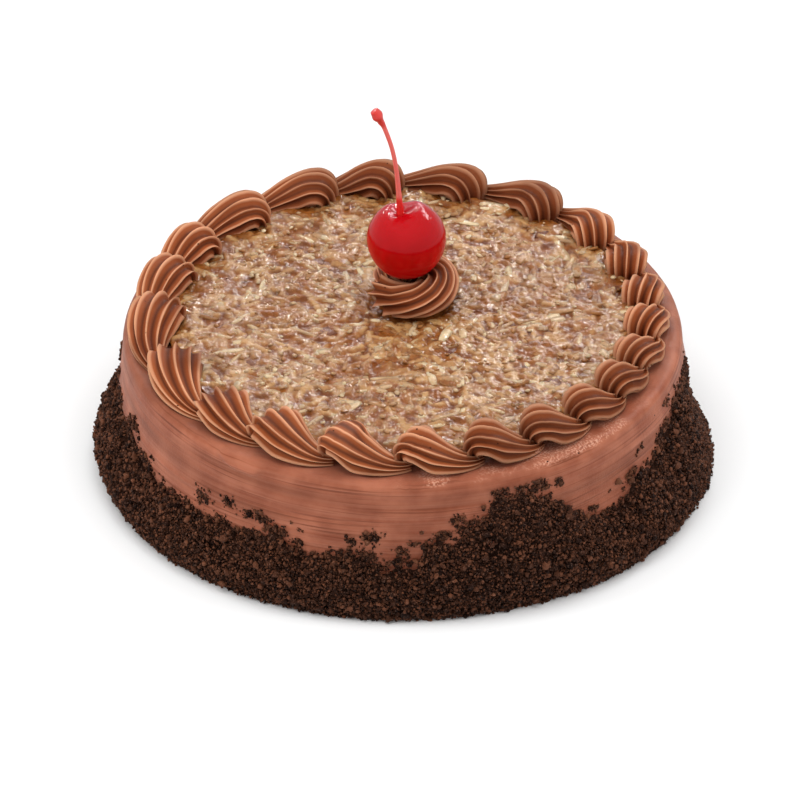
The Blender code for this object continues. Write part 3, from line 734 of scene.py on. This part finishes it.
def shell_section(shell, turn, share):
    """Reach of the innermost and outermost ridge from the pivot, and half the width."""
    if share == 0.0:
        lean = max(0.0, turn) / 90.0
        top = lerp(shell["back"], shell["height"] - shell["pivot"], lean * lean * (3.0 - 2.0 * lean))
        top += SHELL_BULGE * math.sin(math.radians(max(0.0, 2.0 * turn)))
        grown = 0.80 + math.sin(math.radians(turn)) * (0.20 if turn > 0.0 else 0.32)
        return SHELL_CORE, top, shell["half_width"] * grown
    fall = 0.5 + 0.5 * math.cos(math.pi * share ** 0.9)
    top = lerp(SHELL_TAIL_HEIGHT, shell["height"], fall) - shell["pivot"]
    foot = lerp(SHELL_CORE, -shell["pivot"] - SHELL_SINK, smooth(0.0, 0.30, share))
    return foot, top, shell["half_width"] * (1.0 - SHELL_TAIL_TAPER * share ** 1.4)


def shell_point(shell, station, spoke):
    """A point of one shell: X outwards, Y along the ring and Z up from the middle of its foot."""
    turn, share = station
    foot, top, half_width = shell_section(shell, turn, share)
    progress = (turn - SHELL_FIRST_TURN) / (90.0 - SHELL_FIRST_TURN) if share == 0.0 else 1.0 + share
    around = math.tau * spoke / (FLUTES * FLUTE_SPOKES) + shell["phase"]
    squareness = 2.0 if math.cos(around) > 0 else 3.4
    crest = flute(spoke)
    seed = Vector((shell["number"] * 9.1, spoke // FLUTE_SPOKES * 3.7, 0.0))
    uneven = 1.0 + 0.35 * noise.noise(seed + Vector((0, 0, 1.1 * progress)))
    depth = FLUTE_DEPTH * uneven * lerp(1.0, 0.40, share ** 0.8) * smooth(-0.25, 0.30, progress)
    if shell["number"] == WIPED_SHELL:
        wiped = smooth(0.55, 0.8, progress) * smooth(1.3, 1.05, progress)
        depth *= 1.0 - 0.9 * wiped * smooth(-0.4, 0.3, math.cos(around))
    cut = depth * (1.0 - crest)
    up = math.copysign(abs(math.cos(around)) ** (2.0 / squareness), math.cos(around))
    out = math.copysign(abs(math.sin(around)) ** (2.0 / squareness), math.sin(around))
    reach = 0.5 * (foot + top) + (0.5 * (top - foot) - cut) * up
    along = share * shell["tail"]
    across = (half_width - cut) * out
    wander = Vector((across, progress * 12 * MM, reach)) / (6 * MM) + seed
    across += 0.35 * MM * noise.noise(wander)
    reach += 0.30 * MM * noise.noise(wander + Vector((5, 5, 5))) * smooth(0.0, 3 * MM, reach)
    angle = math.radians(turn)
    back = reach * math.cos(angle)
    rise = shell["pivot"] + reach * math.sin(angle)
    outwards = shell["yaw"] * (1.0 - SHELL_SWING * share)
    cosine, sine = math.cos(outwards), math.sin(outwards)
    across, back = across * cosine - back * sine, back * cosine + across * sine
    across += along * shell["yaw"] * (1.0 - 0.5 * SHELL_SWING * share)
    along -= back
    bend = along / SHELL_RING_RADIUS
    radius = SHELL_RING_RADIUS + across
    return Vector((radius * math.cos(bend) - SHELL_RING_RADIUS, radius * math.sin(bend), rise))


def build_shells(finish):
    turns = [lerp(SHELL_FIRST_TURN, 90.0, step / (HEAD_STATIONS - 1)) for step in range(HEAD_STATIONS)]
    head = [(turn, 0.0) for turn in turns]
    tail = [(90.0, (step + 1) / TAIL_STATIONS) for step in range(TAIL_STATIONS)]
    for shell in shell_shapes():
        bm = loft(
            FLUTES * FLUTE_SPOKES, head + tail, lambda at, spoke: shell_point(shell, at, spoke),
            lambda at, spoke: ridge_tone(spoke))
        cut_flat(bm, -SHELL_SINK)
        angle = shell["angle"]
        centre = Vector((SHELL_RING_RADIUS * math.cos(angle), SHELL_RING_RADIUS * math.sin(angle), 0.0))
        centre += Vector((0.0, SHELL_RING_Y, SHELL_BASE))
        bm.transform(Matrix.Translation(centre) @ Matrix.Rotation(angle, 4, "Z"))
        name = "piped_shell_%02d" % shell["number"]
        node = "shell_%02d" % shell["number"]
        finish_piece(name, to_mesh(name, bm), finish, [node])


# The topping

def topping_height(x, y):
    """Height of the topping's bare surface over its own foot; flat where the rosette stands."""
    point = Vector((x, y, 0.0))
    bump = TOPPING_BUMPS * rough(point, 7.0 * MM)
    away = math.hypot(x - ROSETTE_CENTRE[0], y - ROSETTE_CENTRE[1]) - ROSETTE_RADIUS
    free = min(1.0, max(0.0, away / (6.0 * MM)))
    return TOPPING_THICKNESS + bump * free


def glaze_map(places):
    """Height and paleness that shreds lend to the glaze over them, on a square grid of points."""
    reach = TOPPING_RADIUS + 6 * MM
    count = int(2 * reach / GLAZE_GRID) + 1
    lifts = np.zeros((count, count))
    tones = np.zeros((count, count))
    for _, matrix, tone in places:
        centre, along, across = matrix.translation, matrix.col[0].xyz, matrix.col[1].xyz
        length, width = along.length, across.length
        x, y = centre.x - TOPPING_CENTRE[0] + reach, centre.y - TOPPING_CENTRE[1] + reach
        half = 0.5 * length + 2 * MM
        first_x, last_x = int((x - half) / GLAZE_GRID), int((x + half) / GLAZE_GRID) + 1
        first_y, last_y = int((y - half) / GLAZE_GRID), int((y + half) / GLAZE_GRID) + 1
        if min(first_x, first_y) < 0 or max(last_x, last_y) > count:
            continue
        from_x = np.arange(first_x, last_x) * GLAZE_GRID - x
        from_y = np.arange(first_y, last_y) * GLAZE_GRID - y
        grid_x, grid_y = np.meshgrid(from_x, from_y, indexing="ij")
        lengthwise = (grid_x * along.x + grid_y * along.y) / length
        sideways = (grid_x * across.x + grid_y * across.y) / width
        beyond = np.maximum(np.abs(lengthwise) - 0.40 * length, 0.0)
        away = np.hypot(beyond, np.maximum(np.abs(sideways) - 0.25 * width, 0.0)) / (0.75 * MM)
        cover = np.exp(-away ** 2)
        window = (slice(first_x, last_x), slice(first_y, last_y))
        lifts[window] = np.maximum(lifts[window], cover * 0.75 * MM)
        tones[window] = np.maximum(tones[window], cover ** 1.5 * tone)
    return lifts, tones


def build_topping_core(finish, places):
    lifts, tones = glaze_map(places)
    stations = [(1.0, 0.0), (1.0, 0.6)]
    stations += [(1.0 - ring / TOPPING_RINGS, 1.0) for ring in range(TOPPING_RINGS)]

    def read(values, x, y):
        column = int((x - TOPPING_CENTRE[0] + TOPPING_RADIUS + 6 * MM) / GLAZE_GRID + 0.5)
        row = int((y - TOPPING_CENTRE[1] + TOPPING_RADIUS + 6 * MM) / GLAZE_GRID + 0.5)
        return float(values[column, row])

    def spot(station, spoke):
        turn = math.tau * spoke / TOPPING_SPOKES
        reach = station[0] * TOPPING_RADIUS
        return TOPPING_CENTRE[0] + reach * math.cos(turn), TOPPING_CENTRE[1] + reach * math.sin(turn)

    def place(station, spoke):
        x, y = spot(station, spoke)
        point = Vector((x, y, 0.0))
        fine = 0.45 * MM * rough(point, 2.6 * MM) + 0.22 * MM * rough(point, 1.1 * MM)
        lift = read(lifts, x, y) - 0.45 * MM
        return Vector((x, y, TOPPING_BASE + station[1] * (topping_height(x, y) + fine + lift)))

    bm = loft(TOPPING_SPOKES, stations, place, lambda at, spoke: read(tones, *spot(at, spoke)))
    finish_piece("caramel_gel", to_mesh("caramel_gel", bm), finish, ["coconut_topping"])


def shred_bit(draw):
    """A grated strip of coconut, unit long and wide: bent, thinner at its torn ends."""
    bm = bmesh.new()
    bmesh.ops.create_cube(bm, size=1.0)
    lengthwise = [e for e in bm.edges if abs((e.verts[0].co - e.verts[1].co).x) > 0.5]
    bmesh.ops.subdivide_edges(bm, edges=lengthwise, cuts=4, use_grid_fill=True)
    crosswise = [e for e in bm.edges if abs((e.verts[0].co - e.verts[1].co).y) > 0.5]
    bmesh.ops.subdivide_edges(bm, edges=crosswise, cuts=1, use_grid_fill=True)
    bend, skew = draw.uniform(-0.35, 0.35), draw.uniform(-0.25, 0.25)
    offset = Vector([draw.uniform(0, 50) for _ in range(3)])
    for vert in bm.verts:
        end = abs(vert.co.x) * 2.0
        crown = 1.0 - (2.0 * abs(vert.co.y)) ** 2
        vert.co.z *= (1.0 - 0.45 * end ** 2) * (0.70 + 0.45 * crown)
        vert.co.y *= 1.0 - 0.40 * end ** 3
        vert.co.y += bend * (vert.co.x ** 2 - 0.08) + 0.10 * noise.noise(vert.co * 3.0 + offset)
        vert.co.z += skew * vert.co.x + 0.16 * noise.noise(vert.co * 2.0 + offset)
        vert.co.x += 0.05 * noise.noise(vert.co * 5.0 - offset)
    return bit_arrays(bm)


def topping_places(draw, count, kinds, size_of, lift, tilt, rarity):
    """Places of bits that lie on the topping at random, clear of the rosette's foot.

    lift is from the bare surface to the middle of the lowest and the highest bit. The higher the
    rarity, the fewer are pale.
    """
    places = []
    while len(places) < count:
        radius = (TOPPING_RADIUS - 2.5 * MM) * math.sqrt(draw.random())
        turn = draw.uniform(0.0, math.tau)
        x = TOPPING_CENTRE[0] + radius * math.cos(turn)
        y = TOPPING_CENTRE[1] + radius * math.sin(turn)
        if math.hypot(x - ROSETTE_CENTRE[0], y - ROSETTE_CENTRE[1]) < ROSETTE_RADIUS - 1.5 * MM:
            continue
        size = size_of()
        z = TOPPING_BASE + topping_height(x, y) + lerp(*lift, draw.random())
        normal = Vector((draw.uniform(-tilt, tilt), draw.uniform(-tilt, tilt), 1.0)).normalized()
        spin = draw.uniform(0.0, math.tau)
        matrix = pose(Vector((x, y, z)), normal, spin, size)
        places.append((draw.randrange(kinds), matrix, draw.random() ** rarity))
    return places


def build_topping(gel, coconut, pecan):
    draw = random.Random(SEED + 1)
    shreds = [shred_bit(draw) for _ in range(10)]
    flakes = [crumb_bit(draw, 1, 0.5) for _ in range(4)]
    nuts = [crumb_bit(draw, 2, 0.6) for _ in range(6)]

    def shred_size():
        length = lerp(*SHRED_LENGTHS, draw.random() ** 1.6)
        width = lerp(*SHRED_WIDTHS, draw.random() ** 1.4)
        return length, width, draw.uniform(*SHRED_THICKNESSES)

    def flake_size():
        size = draw.uniform(*FLAKE_SIZES)
        return size * draw.uniform(0.8, 2.0), size, size * 0.6

    def nut_size():
        size = lerp(*PECAN_SIZES, draw.random() ** 1.3)
        return size * draw.uniform(0.9, 1.5), size, size * 0.3

    layers = (            # name, bits, count, size, lift, tilt, rarity of pale ones, finish
        ("coconut_shreds", shreds, SHREDS, shred_size, (-1.2 * MM, 0.0), 0.07, 1.4, coconut),
        ("coconut_flakes", flakes, FLAKES, flake_size, (0.0, 0.5 * MM), 0.4, 2, coconut),
        ("pecan_bits", nuts, PECANS, nut_size, (-1.0 * MM, -0.2 * MM), 0.06, 1, pecan))
    for name, bits, count, size_of, lift, tilt, rarity, finish in layers:
        places = topping_places(draw, count, len(bits), size_of, lift, tilt, rarity)
        if bits is shreds:
            build_topping_core(gel, places)
        finish_piece(name, joined(name, bits, places), finish, ["coconut_topping"])


# Rosette, cherry and stem

def build_rosette(finish):
    """A fluted rope piped round in one turn: its ridges climb over the rim as it goes."""
    spokes = ROPE_FLUTES * FLUTE_SPOKES
    ring_radius = ROSETTE_RADIUS - ROPE_HALF_WIDTH
    mouth = [(0.03, 0.25), (0.012, 0.55), (0.002, 0.86)]
    stations = mouth + [(step / ROPE_STATIONS, 1.0) for step in range(ROPE_STATIONS + 1)]

    def place(station, spoke):
        travel, shrink = station
        twist = math.radians(ROPE_TWIST) * travel ** 1.1
        around = math.tau * spoke / spokes + twist + 0.35
        crest = flute(spoke)
        seed = Vector((spoke // FLUTE_SPOKES * 3.1, 0.0, 4.0 * travel))
        depth = lerp(0.40, 0.27, smooth(0.0, 0.2, travel)) * (1.0 + 0.3 * noise.noise(seed))
        groove = 1.0 - depth * (1.0 - crest)
        ending = smooth(0.78, 1.0, travel)
        scale = groove * shrink * (1.14 - 0.14 * smooth(0.0, 0.12, travel)) * (1.0 - 0.55 * ending)
        stagger = 42.0 * (0.5 - 0.5 * math.sin(around)) * (1.0 - travel) ** 6
        turn = math.radians(ROPE_START + stagger + ROPE_TURN * travel)
        rise = ROPE_RISE * math.cos(turn - math.radians(ROPE_HIGH_SIDE))
        half_height = 0.5 * (ROPE_HEIGHT + 0.5 * rise)
        radius = ring_radius + ROPE_HALF_WIDTH * math.cos(around) * scale - 3 * MM * ending
        up = half_height * (1.0 + math.sin(around) * scale) - 2.0 * MM * ending
        point = Vector((radius * math.cos(turn), radius * math.sin(turn), up))
        point += 0.3 * MM * noise.noise_vector(point / (6 * MM))
        return point + Vector((*ROSETTE_CENTRE, ROSETTE_BASE))

    bm = loft(spokes, stations, place, lambda at, spoke: ridge_tone(spoke))
    cut_flat(bm, ROSETTE_BASE - 0.4 * MM)
    finish_piece("piped_rosette", to_mesh("piped_rosette", bm), finish, ["rosette"])


def build_cherry(finish):
    """A heart-like fruit, widest above the middle: two lobes, the right one higher, with a fold between
    them and a dimple for the stalk, and its top leans towards -X."""
    latitudes = [lerp(-87.0, 88.5, step / CHERRY_STATIONS) for step in range(CHERRY_STATIONS + 1)]
    stations = [math.radians(latitude) for latitude in latitudes]

    def place(latitude, spoke):
        turn = math.tau * spoke / CHERRY_SPOKES
        lobe = math.cos(turn - math.radians(25))
        taper = 1.0 - 0.10 * (1.0 - math.sin(latitude)) / 2.0
        out = CHERRY_RADIUS * math.cos(latitude) * taper * (1.0 + 0.02 * math.cos(2 * turn))
        up = 0.5 * CHERRY_HEIGHT * (1.0 + math.sin(latitude))
        up += CHERRY_LOBES * lobe * max(0.0, math.sin(latitude)) ** 3 * min(1.0, 2.0 * out / CHERRY_RADIUS)
        fold = math.exp(-(out * math.cos(turn) / (4.5 * MM)) ** 2)
        up -= CHERRY_CLEFT * fold * max(0.0, math.sin(latitude)) ** 3
        dimple = math.exp(-(out / (4.6 * MM)) ** 2) * (latitude > 0)
        folds = 1.0 + 0.25 * math.cos(5 * turn) * min(1.0, out / (3 * MM))
        up -= (CHERRY_DIMPLE - CHERRY_CLEFT) * dimple * folds
        lean = CHERRY_LEAN * max(0.0, math.sin(latitude)) ** 4
        point = Vector((out * math.cos(turn) - lean, out * math.sin(turn), up))
        point *= 1.0 + 0.008 * noise.noise(point / (7 * MM))
        return point + Vector((*CHERRY_CENTRE, CHERRY_BASE))

    bm = loft(CHERRY_SPOKES, stations, place)
    finish_piece("candied_cherry", to_mesh("candied_cherry", bm), finish, ["cherry"])


def build_stem(finish):
    """A bent stalk with a collar at its foot and an uneven knob at its end."""
    points = [Vector((across, 0.0, up)) * MM for across, up, _ in STEM_POINTS]
    widths = [STEM_RADIUS * width for _, _, width in STEM_POINTS]
    last = len(points) - 1
    foot = Vector((*CHERRY_CENTRE, CHERRY_BASE + CHERRY_HEIGHT - CHERRY_DIMPLE + 0.6 * MM))
    foot.x -= CHERRY_LEAN

    def along(travel):
        """Point, direction and radius on a smooth curve through the points."""
        at = min(last - 1e-6, max(0.0, travel * last))
        number = int(at)
        share = at - number
        before, start = points[max(0, number - 1)], points[number]
        end, after = points[number + 1], points[min(last, number + 2)]
        leave, arrive = (end - before) * 0.5, (after - start) * 0.5
        square, cube = share ** 2, share ** 3
        centre = start * (2 * cube - 3 * square + 1) + leave * (cube - 2 * square + share)
        centre += end * (3 * square - 2 * cube) + arrive * (cube - square)
        direction = lerp(lerp(leave, end - start, 2 * share), arrive, share).normalized()
        return centre, direction, lerp(widths[number], widths[number + 1], smooth(0, 1, share))

    def place(station, spoke):
        travel, shrink = station
        centre, direction, radius = along(travel)
        side = Vector((0.0, 1.0, 0.0))
        other = direction.cross(side).normalized()
        turn = math.tau * spoke / STEM_SPOKES
        knob = smooth(0.78, 0.9, travel)
        uneven = 0.06 * math.cos(3 * turn + 9 * travel) + 0.14 * knob * math.cos(2 * turn + 1)
        radius *= shrink * (1.0 + uneven)
        point = foot + centre + radius * (math.cos(turn) * side + math.sin(turn) * other)
        return point + direction * (1.0 - shrink) * radius * (1 if travel > 0.5 else -1) * 0.5

    stations = [(0.0, 0.5)] + [(step / 64, 1.0) for step in range(65)] + [(1.0, 0.8), (1.0, 0.45)]
    mesh = to_mesh("cherry_stalk", loft(STEM_SPOKES, stations, place))
    finish_piece("cherry_stalk", mesh, finish, ["stem"])


# Studio

def area_light(name, centre, size, power, lights=True, mirrored=True):
    """A light that faces the middle of the cake, and may only light it or only be mirrored in it."""
    light = bpy.data.lights.new(name, "AREA")
    light.shape = "RECTANGLE"
    light.size, light.size_y = size
    light.energy = power
    made = bpy.data.objects.new(name, light)
    made.visible_diffuse = lights
    made.visible_glossy = mirrored
    made.location = centre
    made.rotation_euler = (CAMERA_TARGET - Vector(centre)).to_track_quat("-Z", "Y").to_euler()
    bpy.context.scene.collection.objects.link(made)


def build_studio():
    world = bpy.data.worlds.new("studio")
    bpy.context.scene.world = world
    world.use_nodes = True
    background = world.node_tree.nodes["Background"]
    background.inputs["Color"].default_value = linear("#ffffff")
    background.inputs["Strength"].default_value = 0.48
    area_light("overhead", (0.0, -0.15, 1.45), (1.7, 1.4), 18.6, mirrored=False)
    area_light("left_side", (-1.3, -0.3, 0.55), (0.4, 0.8), 6.4, mirrored=False)
    area_light("right_side", (1.3, -0.2, 0.6), (0.4, 0.8), 4.2, mirrored=False)
    area_light("front", (0.2, -1.6, 0.9), (0.8, 0.5), 1.1, mirrored=False)
    for number, (across, height) in enumerate(SPARKLES):
        area_light("sparkle_%d" % (number + 1), (across, 1.05, height), (0.07, 0.07), 1.1, lights=False)
    area_light("window", (0.63, 0.67, 0.86), (0.64, 0.32), 6.6, lights=False)

    bm = bmesh.new()
    bmesh.ops.create_grid(bm, x_segments=2, y_segments=2, size=3.0)
    floor = bpy.data.objects.new("floor", to_mesh("floor", bm))
    bpy.context.scene.collection.objects.link(floor)
    paint, tree, shader, place = new_finish(
        "matt_white_floor_paint", Roughness=0.85, Specular_IOR_Level=0.2)
    # one coat of paint is a shade thinner than the next every third of a metre
    tint = add(tree, "TexNoise", Vector=place, Scale=3.0)
    thin, thick = linear("#f4f4f4"), linear("#f7f7f7")
    mixed = add(tree, "Mix", data_type="RGBA", _0=tint, _6=thin, _7=thick)
    tree.links.new(mixed.outputs[2], shader.inputs["Base Color"])
    floor.data.materials.append(paint)
    floor.visible_glossy = False


def build_camera():
    lens = bpy.data.cameras.new("camera")
    lens.sensor_width = 36.0
    lens.lens = CAMERA_LENS
    camera = bpy.data.objects.new("camera", lens)
    height = math.radians(CAMERA_ELEVATION)
    back = Vector((0.0, -math.cos(height), math.sin(height)))
    camera.location = CAMERA_TARGET + back * CAMERA_DISTANCE
    camera.rotation_euler = (-back).to_track_quat("-Z", "Y").to_euler()
    bpy.context.scene.collection.objects.link(camera)
    bpy.context.scene.camera = camera
    bpy.context.scene.view_settings.view_transform = "Standard"


spread_frosting = whipped_frosting(
    "spatula_smoothed_buttercream", "#87442c", "#aa6348", "#bb8068", "#65301b", streak_height=1.6 * MM,
    streak_share=0.35, gloss=0.46, mirror=0.16, sheen=0.16)
# on piped frosting the pale tone is also the painted highlight on the crests, and the channel tone the
# painted shade in the channels
piped_frosting = whipped_frosting(
    "piped_buttercream", "#8a4423", "#984f29", "#dfa17b", "#501f0c", streak_height=30 * MM,
    streak_share=0.07, gloss=0.50, mirror=0.10, sheen=0.0)
crumbs = cake_crumbs("dry_chocolate_crumb", "#180804", "#70442f", "#c09480")
gel = glazed(
    "caramel_gel", "#63300c", "#8f5424", "#bc9160", patch=5 * MM, ripple=2.2 * MM, share="crest",
    Roughness=0.35, IOR=1.46, Specular_IOR_Level=0.08, Subsurface_Weight=0.25, Subsurface_Scale=2 * MM,
    Subsurface_Radius=(1.0, 0.6, 0.35), Coat_Weight=0.85, Coat_Roughness=0.05)
coconut = glazed(
    "glazed_coconut", "#7d4a1b", "#9f6a39", "#dac19b", patch=5 * MM, ripple=2.2 * MM, share="tone",
    Roughness=0.38, IOR=1.46, Specular_IOR_Level=0.10, Subsurface_Weight=0.35, Subsurface_Scale=1.5 * MM,
    Subsurface_Radius=(1.0, 0.75, 0.5), Coat_Weight=0.7, Coat_Roughness=0.06)
pecan = glazed(
    "glazed_pecan", "#542c1e", "#744534", "#8c6450", patch=2 * MM, ripple=0.8 * MM, share="tone",
    Roughness=0.40, IOR=1.46, Specular_IOR_Level=0.10, Coat_Weight=0.5, Coat_Roughness=0.07)

build_layer(spread_frosting)
build_crumb_bed(crumbs)
build_crumbs(crumbs)
build_shells(piped_frosting)
build_topping(gel, coconut, pecan)
build_rosette(piped_frosting)
build_cherry(candied_skin("candied_cherry_skin"))
build_stem(dyed_stalk("dyed_cherry_stalk"))
build_studio()
build_camera()
